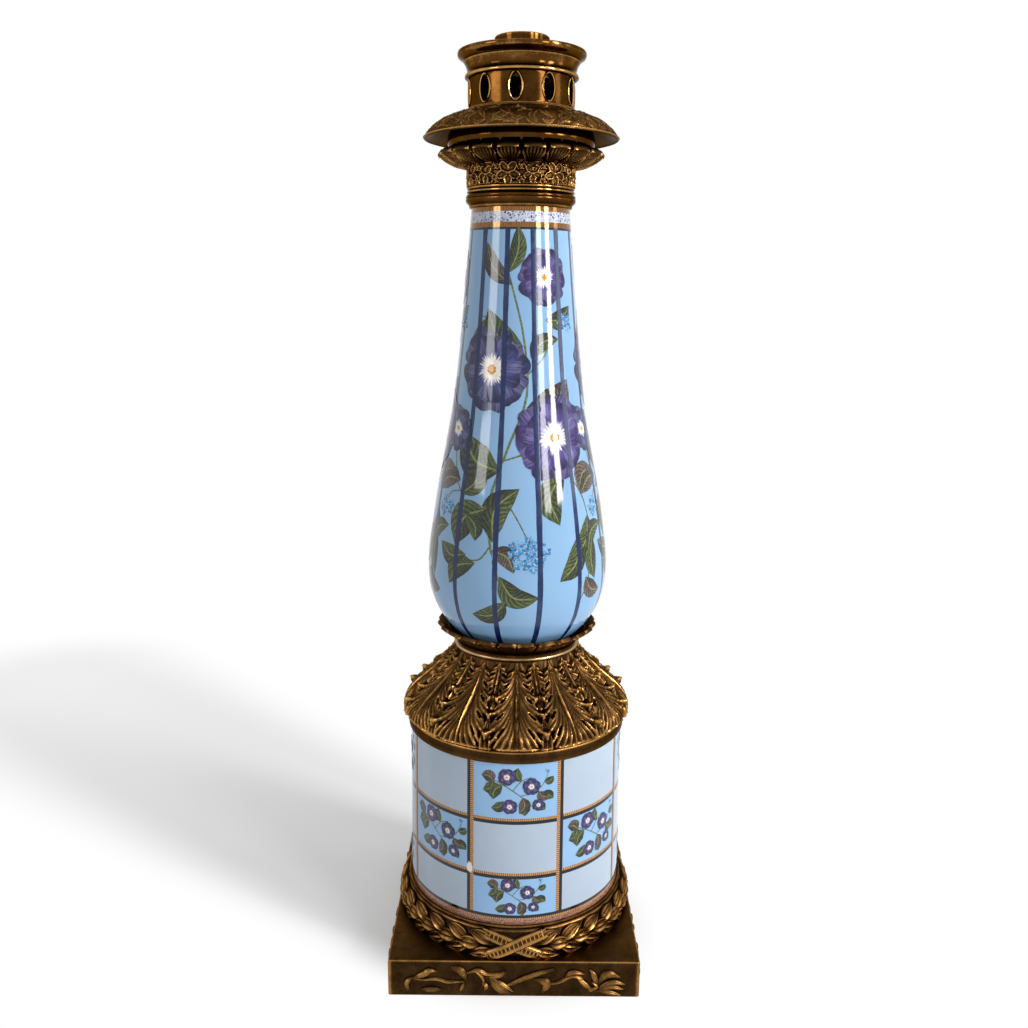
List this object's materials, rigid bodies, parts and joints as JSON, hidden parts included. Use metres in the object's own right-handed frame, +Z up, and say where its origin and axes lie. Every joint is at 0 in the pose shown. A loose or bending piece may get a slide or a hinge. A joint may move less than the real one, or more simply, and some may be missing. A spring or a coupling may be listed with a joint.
{
  "type": "candle holder",
  "caption": "Tall column candle holder: bronze plinth, porcelain drum and vase, leafed bronze mounts, and a candle socket that lifts out of a flared cup.",
  "frame": {"origin": "middle of the plinth's underside, on the surface it stands on", "axes": "+Z up the column; -Y is the front, where the bound ribbons of the wreath and one leaf of the cap face; +X is the viewer's right"},
  "size_m": [0.1454, 0.1454, 0.5202],
  "materials": {
    "antique_bronze": "satin",
    "nozzle_brass": "satin",
    "painted_porcelain": "gloss",
    "felt": "matte",
    "iron_hardware": "satin"
  },
  "bodies": {
    "stand": {"plinth": "antique_bronze", "laurel_ring": "antique_bronze", "drum_foot_felt": "felt", "drum": "painted_porcelain", "acanthus_cap": "antique_bronze", "seat_ring": "antique_bronze", "calyx": "antique_bronze", "vase_foot_felt": "felt", "vase": "painted_porcelain", "neck_collar": "antique_bronze", "frieze_band": "antique_bronze", "lotus_ring": "antique_bronze", "spacer_ring": "antique_bronze", "drip_pan": "antique_bronze", "gallery": "antique_bronze", "socket_plate": "antique_bronze", "cup": "antique_bronze", "tie_rod": "iron_hardware", "base_washer": "iron_hardware", "base_nut": "iron_hardware", "top_washer": "iron_hardware", "top_nut": "iron_hardware"},
    "nozzle": {"nozzle": "nozzle_brass"}
  },
  "joints": [
    {"name": "nozzle_lift", "type": "slide", "parent": "stand", "child": "nozzle", "axis": [0, 0, 1], "range_m": [0, 0.03]}
  ]
}
